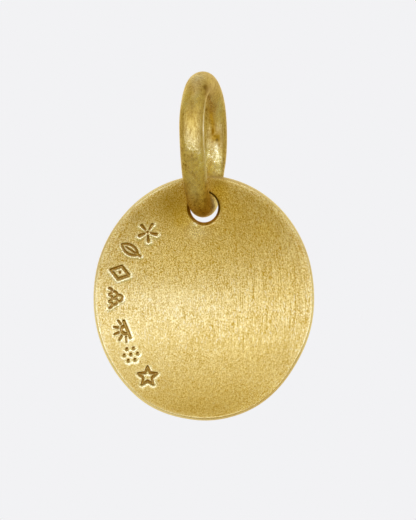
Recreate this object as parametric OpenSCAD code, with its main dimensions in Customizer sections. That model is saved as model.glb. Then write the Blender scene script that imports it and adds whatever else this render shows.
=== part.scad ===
// Medallion pendant: a shallow oval dish of sheet gold, hung on an egg-shaped ring of round wire.
// All sizes are in millimetres. Z is up, the front faces -Y and +X is to the viewer's right.
// The origin is the underside of the ring's top, where a chain bears.

/* [Ring] */
// Diameter of the round wire
wire_d = 1.31; // [1:0.01:1.4]
// Radius of the wire's centreline over the top of the ring
top_r = 2.46; // [2.3:0.02:3]
// Radius of the centreline down the two sides
side_r = 5.24; // [4.4:0.02:7]
// Radius of the centreline round the narrow bottom
bottom_r = 1.45; // [1.1:0.01:1.7]
// Angle that the ring is turned away from edge-on, near side to the left
ring_turn = 14.5; // [0:0.5:30]
// Angle that the ring leans, bottom to the right
ring_lean = 0.5; // [0:0.1:2]

/* [Dish] */
// Width of the oval
dish_w = 11.78; // [10:0.02:14]
// Height of the oval along its long axis
dish_h = 13.08; // [12:0.02:15]
// Angle of the long axis, its top to the right
oval_tilt = 2.7; // [0:0.1:6]
// Thickness of the sheet
dish_t = 0.48; // [0.4:0.02:0.6]
// Radius of the hollow, through the middle of the sheet
hollow_r = 23; // [20:0.5:60]

/* [Hole] */
// Diameter of the hole
hole_d = 1.7; // [1.6:0.01:1.8]
// Gap between the wire and the top of the hole
hole_gap = 0.16; // [0.08:0.01:0.2]
// Width of sheet left between the hole and the top edge
web_h = 0.81; // [0.7:0.01:1.4]
// Distance that the sheet over the hole sits in front of the wire's lowest point
hole_set = 0.1; // [0:0.01:0.2]
// Depth of the bevel round the front of the hole
front_bevel = 0.12; // [0.06:0.01:0.18]
// Depth of the bevel round the back of the hole
back_bevel = 0.2; // [0.06:0.01:0.22]

/* [Ornaments] */
// Width of a punched groove
groove_w = 0.18; // [0.12:0.01:0.2]
// Depth of a punched groove
groove_deep = 0.07; // [0.03:0.01:0.08]

/* [Hidden] */

gold = [0.83, 0.66, 0.33];
pale_gold = [0.89, 0.76, 0.45];
round_fn = 96;
hollow_fn = 360;
rim_fn = 120;
groove_fn = 32;
reach = 2;
joint_slit = 0.01;
joint_proud = 0.006;
bevel_lead = 0.3;

// The centreline is four arcs that run into each other without a corner
shoulder = asin((side_r - top_r) / (side_r - bottom_r));
bottom_drop = (side_r - bottom_r) * cos(shoulder);
ring_h = top_r + bottom_drop + bottom_r;

// Where the wire's lowest point carries the dish
wire_low = [ring_h * sin(ring_lean), 0, wire_d / 2 - ring_h * cos(ring_lean)];

// Height of the hole and of the middle of the oval
hole_z = wire_low[2] + wire_d / 2 + hole_gap - hole_d / 2;
dish_z = hole_z + hole_d / 2 + web_h - dish_h / 2;

// Depth of the hollow's lowest point behind the ring's own middle
hole_top = hole_z + hole_d / 2 - dish_z;
hollow_y = hollow_r - sqrt(hollow_r * hollow_r - hole_top * hole_top) - hole_set;

// Middle of the sheet at the hole's own height
hole_rise = hole_z - dish_z;
hole_y = hollow_y - hollow_r + sqrt(hollow_r * hollow_r - hole_rise * hole_rise);
hole_slope = asin(hole_rise / hollow_r);

// A groove is cut by a round bar whose axis lies this far above the sheet
groove_r = (groove_w * groove_w / 4 + groove_deep * groove_deep) / (2 * groove_deep);
groove_lift = groove_r - groove_deep;

// Places of the ornaments along the left rim, across and up from the middle of the oval
flower_at = [-3.03, 3.52];
leaf_at = [-3.98, 2.6];
lozenge_at = [-4.52, 1.36];
scales_at = [-4.74, 0];
sun_at = [-4.42, -1.78];
rosette_at = [-3.93, -3.02];
star_at = [-3.03, -4.2];

// A piece of round wire bent to radius r about the middle of the XY plane.
// Both ends stop a hair short of the next piece.
module bent_wire(r, from, to) {
    short = 180 * joint_slit / (PI * r);
    rotate([0, 0, from + short])
        rotate_extrude(angle = to - from - 2 * short, $fn = round_fn)
            translate([r, 0])
                circle(d = wire_d, $fn = round_fn);
}

// The soldered joint between two pieces, just proud of the wire
module solder_ball() {
    sphere(d = wire_d + 2 * joint_proud, $fn = round_fn);
}

// One side of the ring, from the widest level down to the shoulder of the bottom bend
module ring_side() {
    translate([top_r - side_r, 0, 0])
        bent_wire(side_r, shoulder - 90, 0);
    translate([top_r, 0, 0])
        solder_ball();
    translate([top_r - side_r + side_r * sin(shoulder), -side_r * cos(shoulder), 0])
        solder_ball();
}

module jump_ring() {
    color(gold)
        rotate([0, -ring_lean, 0])
            rotate([0, 0, 90 - ring_turn])
                translate([0, 0, wire_d / 2 - top_r])
                    rotate([90, 0, 0])
                        union() {
                            bent_wire(top_r, 0, 180);
                            ring_side();
                            mirror([1, 0, 0])
                                ring_side();
                            translate([0, -bottom_drop, 0])
                                bent_wire(bottom_r, 270 - shoulder, 270 + shoulder);
                        }
}

// Outline of the dish, an ellipse with its long axis tilted
module oval() {
    rotate(-oval_tilt)
        polygon([for (i = [0:rim_fn - 1])
            let (a = 360 * i / rim_fn)
            [dish_w / 2 * cos(a), dish_h / 2 * sin(a)]]);
}

// The hollow sheet before it is pierced, with its lowest point on the Y axis
module dished_sheet() {
    difference() {
        intersection() {
            rotate([90, 0, 0])
                linear_extrude(height = 2 * reach, center = true)
                    oval();
            translate([0, hollow_y - hollow_r, 0])
                sphere(r = hollow_r + dish_t / 2, $fn = hollow_fn);
        }
        translate([0, hollow_y - hollow_r, 0])
            sphere(r = hollow_r - dish_t / 2, $fn = hollow_fn);
    }
}

// Straight hole from front to back, with a bevel square to the sheet at each end
module hole() {
    rotate([90, 0, 0])
        cylinder(h = 2 * reach, d = hole_d, center = true, $fn = round_fn);
    translate([0, hole_y, 0])
        rotate([90 + hole_slope, 0, 0])
            union() {
                bevel_cutter(front_bevel);
                mirror([0, 0, 1])
                    bevel_cutter(back_bevel);
            }
}

// Cone that opens one end of the hole, from inside the straight part outwards
module bevel_cutter(deep) {
    start = dish_t / 2 - deep - bevel_lead;
    translate([0, 0, start])
        cylinder(h = 2 * deep + bevel_lead, d1 = hole_d - 2 * bevel_lead, d2 = hole_d + 4 * deep,
                 $fn = round_fn);
}

// Straight groove between two points of the sheet's own plane
module groove(from, to) {
    run = to - from;
    translate([from[0], from[1], groove_lift])
        rotate([0, 0, atan2(run[1], run[0])])
            rotate([0, 90, 0])
                cylinder(h = norm(run), r = groove_r, $fn = groove_fn);
}

// Curved groove, part of a circle about the middle
module bow(r, from, to) {
    translate([0, 0, groove_lift])
        rotate([0, 0, from])
            rotate_extrude(angle = to - from, $fn = 2 * groove_fn)
                translate([r, 0])
                    circle(r = groove_r, $fn = groove_fn);
}

// Round pit
module pit() {
    translate([0, 0, groove_lift])
        sphere(r = groove_r, $fn = groove_fn);
}

// Each ornament is drawn with its top along +Y, which points to the rim once it is placed

// Five petals about a pit
module flower() {
    petal_from = 0.18;
    petal_to = 0.48;
    pit();
    for (i = [0:4])
        rotate([0, 0, 90 + 360 / 5 * i])
            groove([petal_from, 0], [petal_to, 0]);
}

// Two bows that meet in points, and a rib that runs on into the stalk
module leaf() {
    half_l = 0.5;
    half_w = 0.24;
    stalk = 0.17;
    r = (half_l * half_l + half_w * half_w) / (2 * half_w);
    half_a = asin(half_l / r);
    for (side = [0, 180])
        rotate([0, 0, side])
            translate([half_w - r, 0, 0])
                bow(r, -half_a, half_a);
    groove([0, -half_l - stalk], [0, half_l / 2]);
}

// Outline of a lozenge about a pit
module lozenge() {
    half_w = 0.36;
    half_h = 0.5;
    corners = [[half_w, 0], [0, half_h], [-half_w, 0], [0, -half_h]];
    pit();
    for (i = [0:3])
        groove(corners[i], corners[(i + 1) % 4]);
}

// Three, two and one cups in rows
module scales() {
    cup_r = 0.165;
    cup_from = 185;
    cup_to = 355;
    pitch = 0.36;
    row_h = 0.27;
    top_row = 0.36;
    for (row = [0:2])
        for (i = [0:2 - row])
            translate([pitch * (i - (2 - row) / 2), top_row - row_h * row, 0])
                bow(cup_r, cup_from, cup_to);
}

// A sun that rises over a line, with five rays
module half_sun() {
    sun_r = 0.22;
    ray_from = 0.4;
    ray_to = 0.64;
    line_half = 0.46;
    line_y = -0.3;
    sink = 0.08;
    translate([0, line_y + sink, 0]) {
        bow(sun_r, 0, 180);
        for (i = [0:4])
            rotate([0, 0, 180 / 5 * (i + 0.5)])
                groove([ray_from, 0], [ray_to, 0]);
    }
    groove([-line_half, line_y], [line_half, line_y]);
}

// Six pits about a seventh
module rosette() {
    rosette_r = 0.36;
    pit();
    for (i = [0:5])
        rotate([0, 0, 360 / 6 * i])
            translate([rosette_r, 0, 0])
                pit();
}

// Outline of a five-pointed star
module star() {
    tip_r = 0.52;
    notch_r = 0.24;
    corners = [for (i = [0:9])
        let (r = i % 2 == 0 ? tip_r : notch_r, a = 90 + 360 / 10 * i)
        [r * cos(a), r * sin(a)]];
    for (i = [0:9])
        groove(corners[i], corners[(i + 1) % 10]);
}

// Puts an ornament on the front of the sheet, with its top towards the rim
module punched(at) {
    rise = asin(at[1] / hollow_r);
    turn = asin(at[0] / (hollow_r * cos(rise)));
    translate([0, hollow_y - hollow_r, 0])
        rotate([rise, 0, -turn])
            translate([0, hollow_r - dish_t / 2, 0])
                rotate([90, 0, 0])
                    rotate([0, 0, atan2(at[1], at[0]) - 90])
                        children();
}

module ornaments() {
    punched(flower_at)
        flower();
    punched(leaf_at)
        leaf();
    punched(lozenge_at)
        lozenge();
    punched(scales_at)
        scales();
    punched(sun_at)
        half_sun();
    punched(rosette_at)
        rosette();
    punched(star_at)
        star();
}

module medallion_disc() {
    color(pale_gold)
        translate([wire_low[0], 0, dish_z])
            difference() {
                dished_sheet();
                translate([0, 0, hole_z - dish_z])
                    hole();
                ornaments();
            }
}

jump_ring();
medallion_disc();
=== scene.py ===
import math

import bmesh
import bpy
import numpy as np
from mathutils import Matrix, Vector
from mathutils.geometry import delaunay_2d_cdt


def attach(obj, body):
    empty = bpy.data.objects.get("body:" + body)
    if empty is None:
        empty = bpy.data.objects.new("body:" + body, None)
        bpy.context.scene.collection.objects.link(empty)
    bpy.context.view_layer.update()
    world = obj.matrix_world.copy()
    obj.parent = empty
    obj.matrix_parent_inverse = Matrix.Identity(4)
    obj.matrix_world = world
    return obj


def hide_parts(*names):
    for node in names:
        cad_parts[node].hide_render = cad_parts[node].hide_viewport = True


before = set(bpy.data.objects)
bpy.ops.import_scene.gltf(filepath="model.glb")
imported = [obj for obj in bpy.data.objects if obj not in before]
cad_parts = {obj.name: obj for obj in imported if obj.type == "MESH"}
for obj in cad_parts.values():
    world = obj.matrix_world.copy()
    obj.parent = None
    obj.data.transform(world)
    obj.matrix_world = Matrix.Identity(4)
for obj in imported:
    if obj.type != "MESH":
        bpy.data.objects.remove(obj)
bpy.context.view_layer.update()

# Looks of the medallion pendant: a brushed oval gold dish on an egg-shaped ring of round wire.
# All sizes below are in millimetres and turn into metres where a mesh is made.

MM = 0.001

# Ring, as in the construction model
WIRE_D = 1.31
TOP_R = 2.46
SIDE_R = 5.24
BOTTOM_R = 1.45
RING_TURN = math.radians(14.5)
RING_LEAN = math.radians(0.5)

# Dish, as in the construction model
DISH_W = 11.78
DISH_H = 13.08
OVAL_TILT = math.radians(2.7)
DISH_T = 0.48
HOLLOW_R = 23.0
HOLE_D = 1.7
HOLE_GAP = 0.16
WEB_H = 0.81
HOLE_SET = 0.1
BACK_BEVEL = 0.2

# The dish's edge: rounding at its front and back, and how wide and deep its front rolls back.
# The roll keeps only its least share below the fade, which is given in heights from the dish's middle.
FRONT_ROUND = 0.035
BACK_ROUND = 0.07
ROLL_W = 0.36
ROLL_DEEP = 0.032
ROLL_LEAST = 0.30
ROLL_FADE = (-1.0, -5.0)

# The hole in the visual model narrows to a throat in the middle of the sheet, where the wire leaves room.
# Throat and lip are nearly round and sit a little below the hole's own middle, the lip also to its left.
THROAT_HALF_W = 0.745
THROAT_HALF_H = 0.80
THROAT_DROP = 0.05
LIP_HALF_W = 0.875
LIP_HALF_H = 0.93
LIP_DROP = 0.095
LIP_LEFT = 0.035
LIP_SOFT = 0.02

# Loops of the throat, and the one where the bevel at the back sets in: how much wider, and depth
THROAT_LOOPS = ((0.008, -0.05), (0.0, -0.02), (0.0, 0.02))
BEVEL_START = (0.01, 0.09)

# The photograph's frame and where the dish's middle lies in it
FRAME_W_PX = 416
FRAME_H_PX = 520
DISC_MID_PX = (204.1, 298.05)
MM_PER_PX = 0.05318

# Places that follow from the sizes above
SHOULDER = math.asin((SIDE_R - TOP_R) / (SIDE_R - BOTTOM_R))
BOTTOM_DROP = (SIDE_R - BOTTOM_R) * math.cos(SHOULDER)
RING_H = TOP_R + BOTTOM_DROP + BOTTOM_R
RING_MID_Z = WIRE_D / 2 - TOP_R
WIRE_LOW = (RING_H * math.sin(RING_LEAN), 0.0, WIRE_D / 2 - RING_H * math.cos(RING_LEAN))
HOLE_Z = WIRE_LOW[2] + WIRE_D / 2 + HOLE_GAP - HOLE_D / 2
DISH_X = WIRE_LOW[0]
DISH_Z = HOLE_Z + HOLE_D / 2 + WEB_H - DISH_H / 2
HOLE_RISE = HOLE_Z - DISH_Z
HOLE_TOP = HOLE_RISE + HOLE_D / 2
HOLLOW_Y = HOLLOW_R - math.sqrt(HOLLOW_R ** 2 - HOLE_TOP ** 2) - HOLE_SET
FACE_FRONT = -DISH_T / 2
FACE_BACK = DISH_T / 2
HOLE_MID = (0.0, HOLE_RISE)
THROAT_MID = (0.0, HOLE_RISE - THROAT_DROP)
LIP_MID = (-LIP_LEFT, HOLE_RISE - LIP_DROP)
LIP_R = LIP_HALF_H + LIP_SOFT


# Helpers for numbers

def smoothstep(low, high, value):
    """0 at low, 1 at high, smooth between and level beyond. High may be the smaller one."""
    t = np.clip((value - low) / (high - low), 0.0, 1.0)
    return t * t * (3 - 2 * t)


def bell(gap, spread):
    """1 at no gap, fading to nothing past the spread."""
    return np.exp(-(gap / spread) ** 2)


def round_gap(value, at, whole):
    """How far a value lies from a place on a closed round, the shorter way, with its sign."""
    return (value - at + whole / 2) % whole - whole / 2


def clock_sum(across, up, rows):
    """Sum of soft bumps, each given by degrees clockwise from the top, spread in degrees and height."""
    clock = np.degrees(np.arctan2(across, up)) % 360
    return sum(high * bell(round_gap(clock, at, 360), spread) for at, spread, high in rows)


def marks_at(across, up, marks):
    """Summed strength of soft oval marks at the given places, at most two."""
    total = np.zeros(len(across))
    for x, z, wide, high, strength in marks:
        total += strength * np.exp(-((across - x) / wide) ** 2 - ((up - z) / high) ** 2)
    return np.clip(total, 0.0, 2.0)


def turned(a, b, angle):
    """A pair of coordinates turned by an angle in radians."""
    c, s = math.cos(angle), math.sin(angle)
    return c * a - s * b, s * a + c * b


# Helpers for meshes

def new_mesh(name, points, faces):
    """A smooth-shaded mesh object from points in millimetres."""
    mesh = bpy.data.meshes.new(name)
    mesh.from_pydata([tuple(p) for p in np.asarray(points) * MM], [], faces)
    mesh.validate()
    mesh.shade_smooth()
    obj = bpy.data.objects.new(name, mesh)
    bpy.context.scene.collection.objects.link(obj)
    return obj


def turn_faces_out(obj):
    bm = bmesh.new()
    bm.from_mesh(obj.data)
    bmesh.ops.recalc_face_normals(bm, faces=bm.faces)
    bm.to_mesh(obj.data)
    bm.free()
    obj.data.shade_smooth()


def mesh_points(obj):
    """Vertices of a mesh in millimetres."""
    flat = np.empty(3 * len(obj.data.vertices), dtype=np.float32)
    obj.data.vertices.foreach_get("co", flat)
    return flat.reshape(-1, 3) / MM


def add_values(obj, name, values):
    """Stores one number for each vertex, for the material to read."""
    attribute = obj.data.attributes.new(name, "FLOAT", "POINT")
    attribute.data.foreach_set("value", np.asarray(values, dtype=np.float32))


def triangle_count(obj):
    return sum(len(p.vertices) - 2 for p in obj.data.polygons)


# The dish's sheet, with points on it given as (across, up) from its middle

# Where the outline stands out or in: degrees clockwise from the top, spread in degrees, millimetres
UNEVEN_EDGE = (
    (153, 14, 0.040),
    (126, 12, -0.032),
    (189, 9, -0.032),
    (210, 9, 0.026),
    (291, 16, 0.026),
    (84, 14, -0.026),
)

# Slow unevenness of the hand-raised sheet: wave length, direction in degrees, phase, height
HAND_WAVES = (
    (5.3, 20, 0.4, 0.0035),
    (3.7, 75, 2.1, 0.0022),
    (2.9, 130, 4.0, 0.0016),
    (4.4, 165, 5.2, 0.0026),
)


def oval_edge(count):
    """The hand-cut outline counter-clockwise, and the direction straight out of it at each point."""
    t = np.linspace(0, 2 * math.pi, count, endpoint=False)
    x, z = turned(DISH_W / 2 * np.cos(t), DISH_H / 2 * np.sin(t), -OVAL_TILT)
    nx = np.cos(t) / (DISH_W / 2)
    nz = np.sin(t) / (DISH_H / 2)
    length = np.hypot(nx, nz)
    nx, nz = turned(nx / length, nz / length, -OVAL_TILT)
    out = clock_sum(x, z, UNEVEN_EDGE)
    return np.stack([x + out * nx, z + out * nz], axis=1), np.stack([nx, nz], axis=1)


def on_sheet(uv, depth):
    """Puts points on the hollow sheet at a depth from its middle, towards the back."""
    u, v = uv[:, 0], uv[:, 1]
    w = np.sqrt(HOLLOW_R ** 2 - u ** 2 - v ** 2)
    k = (HOLLOW_R + depth) / HOLLOW_R
    return np.stack([DISH_X + k * u, HOLLOW_Y - HOLLOW_R + k * w, DISH_Z + k * v], axis=1)


def seen_to_sheet(seen, depth):
    """Points on the middle of the sheet for points that lie at a depth and are seen at these places."""
    return seen * HOLLOW_R / (HOLLOW_R + depth)


def hand_waves(uv):
    """Depth of the slow unevenness."""
    deep = np.zeros(len(uv))
    for long, direction, phase, high in HAND_WAVES:
        a = math.radians(direction)
        way = uv[:, 0] * math.cos(a) + uv[:, 1] * math.sin(a)
        deep += high * np.sin(2 * math.pi * way / long + phase)
    return deep


def roll_deep(uv):
    """How far the sheet's edge rolls back, less towards the bottom."""
    return ROLL_DEEP * (1 - (1 - ROLL_LEAST) * smoothstep(*ROLL_FADE, uv[:, 1]))


# Punched ornaments

# A stroke is a row of (x, y, half width, depth), with the ornament's top along +y, which points to the rim
# once it is placed.

STROKE_W = 0.095
FINE_W = 0.075
STROKE_DEEP = 0.066
PIT_R = 0.10
BOW_STEPS = 14
# A length too small to see
TINY = 0.001


def bar(start, end, half_w=STROKE_W, end_half_w=STROKE_W):
    return [(*start, half_w, STROKE_DEEP), (*end, end_half_w, STROKE_DEEP)]


def pit(at, r=PIT_R):
    return bar(at, (at[0] + TINY, at[1]), r, r)


def bow(middle, r, start, end, half_w=STROKE_W):
    """Part of a circle, angles in degrees."""
    rows = []
    for k in range(BOW_STEPS + 1):
        a = math.radians(start + (end - start) * k / BOW_STEPS)
        rows.append((middle[0] + r * math.cos(a), middle[1] + r * math.sin(a), half_w, STROKE_DEEP))
    return rows


def polar(r, degrees):
    return r * math.cos(math.radians(degrees)), r * math.sin(math.radians(degrees))


def closed(corners, half_w=STROKE_W):
    """Bars from each corner to the next and back to the first."""
    return [bar(a, b, half_w, half_w) for a, b in zip(corners, corners[1:] + corners[:1])]


def flower():
    """Five petals about a pit."""
    petal_from, petal_to = 0.18, 0.48
    petal_w, tip_w = 0.06, 0.10
    turns = [90 + 360 / 5 * k for k in range(5)]
    petals = [bar(polar(petal_from, turn), polar(petal_to, turn), petal_w, tip_w) for turn in turns]
    return petals + [pit((0, 0), 0.08)]


def leaf():
    """Two bows that meet in points, and a rib that runs on into the stalk."""
    half_l, half_w, stalk = 0.50, 0.24, 0.17
    stalk_w, rib_w = 0.07, 0.05
    r = (half_l ** 2 + half_w ** 2) / (2 * half_w)
    half_a = math.degrees(math.asin(half_l / r))
    right = bow((half_w - r, 0), r, -half_a, half_a, FINE_W)
    left = bow((r - half_w, 0), r, 180 - half_a, 180 + half_a, FINE_W)
    return [right, left, bar((0, -half_l - stalk), (0, half_l / 2), stalk_w, rib_w)]


def lozenge():
    """Outline of a lozenge about a pit."""
    half_w, half_h = 0.36, 0.50
    return closed([(half_w, 0), (0, half_h), (-half_w, 0), (0, -half_h)]) + [pit((0, 0), 0.09)]


def scales():
    """Three, two and one cups in rows."""
    cup_r, cup_from, cup_to = 0.165, 185, 355
    pitch, row_h, top_row = 0.36, 0.27, 0.36
    rows = []
    for row in range(3):
        for k in range(3 - row):
            middle = (pitch * (k - (2 - row) / 2), top_row - row_h * row)
            rows.append(bow(middle, cup_r, cup_from, cup_to, FINE_W))
    return rows


def half_sun():
    """A sun that rises over a line, with five rays."""
    sun_r, sun_y = 0.22, -0.22
    ray_from, ray_to, ray_tip_w = 0.40, 0.64, 0.06
    line_half, line_y = 0.46, -0.30
    rows = [bow((0, sun_y), sun_r, 0, 180), bar((-line_half, line_y), (line_half, line_y))]
    for k in range(5):
        (x0, y0), (x1, y1) = (polar(r, 180 / 5 * (k + 0.5)) for r in (ray_from, ray_to))
        rows.append(bar((x0, y0 + sun_y), (x1, y1 + sun_y), FINE_W, ray_tip_w))
    return rows


def rosette():
    """Six pits about a seventh."""
    rosette_r = 0.36
    return [pit((0, 0))] + [pit(polar(rosette_r, 360 / 6 * k)) for k in range(6)]


def star():
    """Outline of a five-pointed star."""
    tip_r, notch_r, half_w = 0.52, 0.24, 0.08
    return closed([polar(notch_r if k % 2 else tip_r, 90 + 360 / 10 * k) for k in range(10)], half_w)


# Ornament and its place, across and up from the dish's middle
ORNAMENTS = (
    (flower, -3.03, 3.52),
    (leaf, -3.98, 2.60),
    (lozenge, -4.52, 1.36),
    (scales, -4.74, 0.0),
    (half_sun, -4.42, -1.78),
    (rosette, -3.93, -3.02),
    (star, -3.03, -4.20),
)

# Cross-section of a groove: its flat floor, and the burr pushed up beside it, which is polished and given
# a painted highlight. All is in half widths but the burr's rise, in millimetres, and the strength of its
# polish and painted highlight.
GROOVE_FLAT = 0.10
BURR_AT = 1.65
BURR_SPREAD = 0.70
BURR_RISE = 0.018
BURR_POLISH_AND_HIGHLIGHT = 1.6
# The punch leaned, so the burr is highest towards this direction, across and up, and has only this share
# of its height on the opposite side. The burr's painted highlight follows its height.
BURR_SIDE = (0.3, -0.95)
BURR_LEAST = 0.12
# Dark stain and painted shade in a groove: half widths where they end, the span over which the shade grows
# away from the burr's side, and the share of it that is left on that side
GROOVE_STAIN_AND_SHADE_ENDS = (0.80, 1.10)
GROOVE_SHADE = (0.8, -0.8)
GROOVE_LEAST = 0.12


def placed_strokes():
    """Every stroke of every ornament, as segments on the sheet."""
    rows = []
    for shape, across, up in ORNAMENTS:
        turn = math.atan2(up, across) - math.pi / 2
        for stroke in shape():
            points = []
            for x, y, half_w, deep in stroke:
                x, y = turned(x, y, turn)
                points.append((across + x, up + y, half_w, deep))
            rows += [a + b for a, b in zip(points, points[1:])]
    return rows


def stroke_reach(uv, strokes):
    """For each point, how far off its nearest stroke is in half widths, how deep that stroke is and how
    much the point lies on its burr's side. The last value is the distance to the nearest stroke's edge."""
    best = np.full(len(uv), np.inf)
    edge = np.full(len(uv), np.inf)
    aside = np.zeros(len(uv))
    deep = np.zeros(len(uv))
    for x0, y0, w0, d0, x1, y1, w1, d1 in strokes:
        ex, ey = x1 - x0, y1 - y0
        t = np.clip(((uv[:, 0] - x0) * ex + (uv[:, 1] - y0) * ey) / (ex * ex + ey * ey), 0, 1)
        dx, dy = uv[:, 0] - x0 - t * ex, uv[:, 1] - y0 - t * ey
        gap = np.hypot(dx, dy)
        half_w = w0 + (w1 - w0) * t
        near = gap / half_w < best
        best = np.where(near, gap / half_w, best)
        leaning = (dx * BURR_SIDE[0] + dy * BURR_SIDE[1]) / np.maximum(gap, 1e-6)
        aside = np.where(near, leaning, aside)
        deep = np.where(near, d0 + (d1 - d0) * t, deep)
        edge = np.minimum(edge, gap - half_w)
    return best, deep, aside, edge


def groove_values(uv, strokes):
    """Depth of the relief, height of the burr as a share, and dark stain with painted shade, at points of
    the front.
    """
    ratio, deep, aside, _ = stroke_reach(uv, strokes)
    burr = bell(ratio - BURR_AT, BURR_SPREAD) * (BURR_LEAST + (1 - BURR_LEAST) * smoothstep(-1, 1, aside))
    relief = deep * (1 - smoothstep(GROOVE_FLAT, 1.0, ratio)) - BURR_RISE * burr
    shade = GROOVE_LEAST + (1 - GROOVE_LEAST) * smoothstep(*GROOVE_SHADE, aside * np.minimum(ratio, 1))
    return relief, burr, (1 - smoothstep(*GROOVE_STAIN_AND_SHADE_ENDS, ratio)) * shade


# The dish's mesh

# Spacing of the front's points: fine by a groove, middling further out and on the rolled edge, else coarse
FINE_STEP = 0.026
MIDDLE_STEP = 0.06
COARSE_STEP = 0.13
FINE_REACH = 0.07
MIDDLE_REACH = 0.30
# Room between the points and a loop: share of the spacing, and the spacing that counts at most
OUTLINE_ROOM = (0.6, 0.08)
HOLE_ROOM = (0.5, 0.06)
# Spacing and room on the plain back
BACK_STEP = 0.24
BACK_ROOM = 0.10
RIM_COUNT = 480
HOLE_COUNT = 160
ROUND_STEPS = 5
MERGE_GAP = 1e-9


def hex_grid(low, high, step):
    """Points of a triangular grid over a rectangle."""
    rows = []
    for k, y in enumerate(np.arange(low[1], high[1], step * math.sqrt(3) / 2)):
        x = np.arange(low[0] + (k % 2) * step / 2, high[0], step)
        rows.append(np.stack([x, np.full(len(x), y)], axis=1))
    return np.concatenate(rows)


def outline_gap(uv, outline):
    """Distance of points inside a star-shaped outline, measured along the line from its middle."""
    angle = np.arctan2(outline[:, 1], outline[:, 0])
    order = np.argsort(angle)
    angle = angle[order]
    radius = np.hypot(outline[:, 0], outline[:, 1])[order]
    angle = np.concatenate([angle[-1:] - 2 * math.pi, angle, angle[:1] + 2 * math.pi])
    radius = np.concatenate([radius[-1:], radius, radius[:1]])
    return np.interp(np.arctan2(uv[:, 1], uv[:, 0]), angle, radius) - np.hypot(uv[:, 0], uv[:, 1])


def sheet_face(outline, loop, inner):
    """Triangles between an outline and the hole's loop through inner points, numbered in that order."""
    points = np.concatenate([outline, loop, inner])
    edges = []
    for start, count in ((0, len(outline)), (len(outline), len(loop))):
        edges += [(start + k, start + (k + 1) % count) for k in range(count)]
    flat = [Vector(p) for p in points.tolist()]
    verts, _, faces, _, _, _ = delaunay_2d_cdt(flat, edges, [], 0, MERGE_GAP)
    if len(verts) != len(points):
        raise RuntimeError("the dish's outline crosses itself")
    faces = np.array(faces)
    middle = np.array(verts)[faces].mean(axis=1)
    hole_middle = loop.mean(axis=0)
    inside = outline_gap(middle, outline) > 0
    in_hole = outline_gap(middle - hole_middle, loop - hole_middle) > 0
    return faces[inside & ~in_hole]


def hole_loop(half_w, half_h, middle, depth):
    """The hole's wall at a depth, on the middle of the sheet. It has this size seen from the front."""
    a = np.linspace(0, 2 * math.pi, HOLE_COUNT, endpoint=False)
    seen = np.stack([middle[0] + half_w * np.cos(a), middle[1] + half_h * np.sin(a)], axis=1)
    return seen_to_sheet(seen, depth)


def room_for(step, rule):
    """Least distance between a loop and points of this spacing."""
    share, most = rule
    return share * min(step, most)


def front_face(edge, outline, strokes):
    """Points of the front, the outline and the lip's loop first, and its triangles."""
    lip = hole_loop(LIP_HALF_W + LIP_SOFT, LIP_R, LIP_MID, FACE_FRONT)
    grids = []
    near = -math.inf
    for step, far in ((FINE_STEP, FINE_REACH), (MIDDLE_STEP, MIDDLE_REACH), (COARSE_STEP, math.inf)):
        g = hex_grid(edge.min(axis=0), edge.max(axis=0), step)
        g = g[outline_gap(g, outline) > room_for(step, OUTLINE_ROOM)]
        g = g[np.hypot(g[:, 0] - LIP_MID[0], g[:, 1] - LIP_MID[1]) - LIP_R > room_for(step, HOLE_ROOM)]
        to_groove = stroke_reach(g, strokes)[3]
        to_roll = np.maximum(outline_gap(g, outline) - ROLL_W, FINE_REACH + TINY)
        reach = np.minimum(to_groove, to_roll)
        grids.append(g[(reach > near) & (reach <= far)])
        near = far
    inner = np.concatenate(grids)
    return np.concatenate([outline, lip, inner]), sheet_face(outline, lip, inner)


def back_face(edge, outline):
    """Inner points of the back, and its triangles, which number the outline and the hole's loop first."""
    half = HOLE_D / 2 + BACK_BEVEL
    inner = hex_grid(edge.min(axis=0), edge.max(axis=0), BACK_STEP)
    inner = inner[outline_gap(inner, outline) > BACK_ROOM]
    inner = inner[np.hypot(inner[:, 0], inner[:, 1] - HOLE_RISE) > half + BACK_ROOM]
    return inner, sheet_face(outline, hole_loop(half, half, HOLE_MID, FACE_BACK), inner)


def round_profile(radius, depth, towards):
    """(inset, depth) pairs of a rounded edge, from the flat face to the wall."""
    rows = []
    for k in range(1, ROUND_STEPS + 1):
        a = math.pi / 2 * k / ROUND_STEPS
        rows.append((radius * (1 - math.sin(a)), depth + towards * radius * (1 - math.cos(a))))
    return rows


def rim_loops(edge, normal):
    """Rounded front edge, wall and rounded back edge."""
    rows = [(inset, depth + roll_deep(edge)) for inset, depth in round_profile(FRONT_ROUND, FACE_FRONT, 1)]
    rows += reversed(round_profile(BACK_ROUND, FACE_BACK, -1))
    rows.append((BACK_ROUND, FACE_BACK))
    return [on_sheet(edge - inset * normal, depth) for inset, depth in rows]


def hole_loops():
    """Softened lip, bevel down to the throat, and a wider bevel at the back."""
    rows = [(LIP_HALF_W, LIP_HALF_H, LIP_MID, FACE_FRONT + LIP_SOFT / 2)]
    for wider, depth in THROAT_LOOPS:
        rows.append((THROAT_HALF_W + wider, THROAT_HALF_H + wider, THROAT_MID, depth))
    for wider, depth in (BEVEL_START, (BACK_BEVEL, FACE_BACK)):
        rows.append((HOLE_D / 2 + wider, HOLE_D / 2 + wider, HOLE_MID, depth))
    return [on_sheet(hole_loop(*row), row[-1]) for row in rows]


def loop_quads(a, b, count):
    """Quads between two loops that start at these numbers."""
    return [(a + k, a + (k + 1) % count, b + (k + 1) % count, b + k) for k in range(count)]


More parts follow.
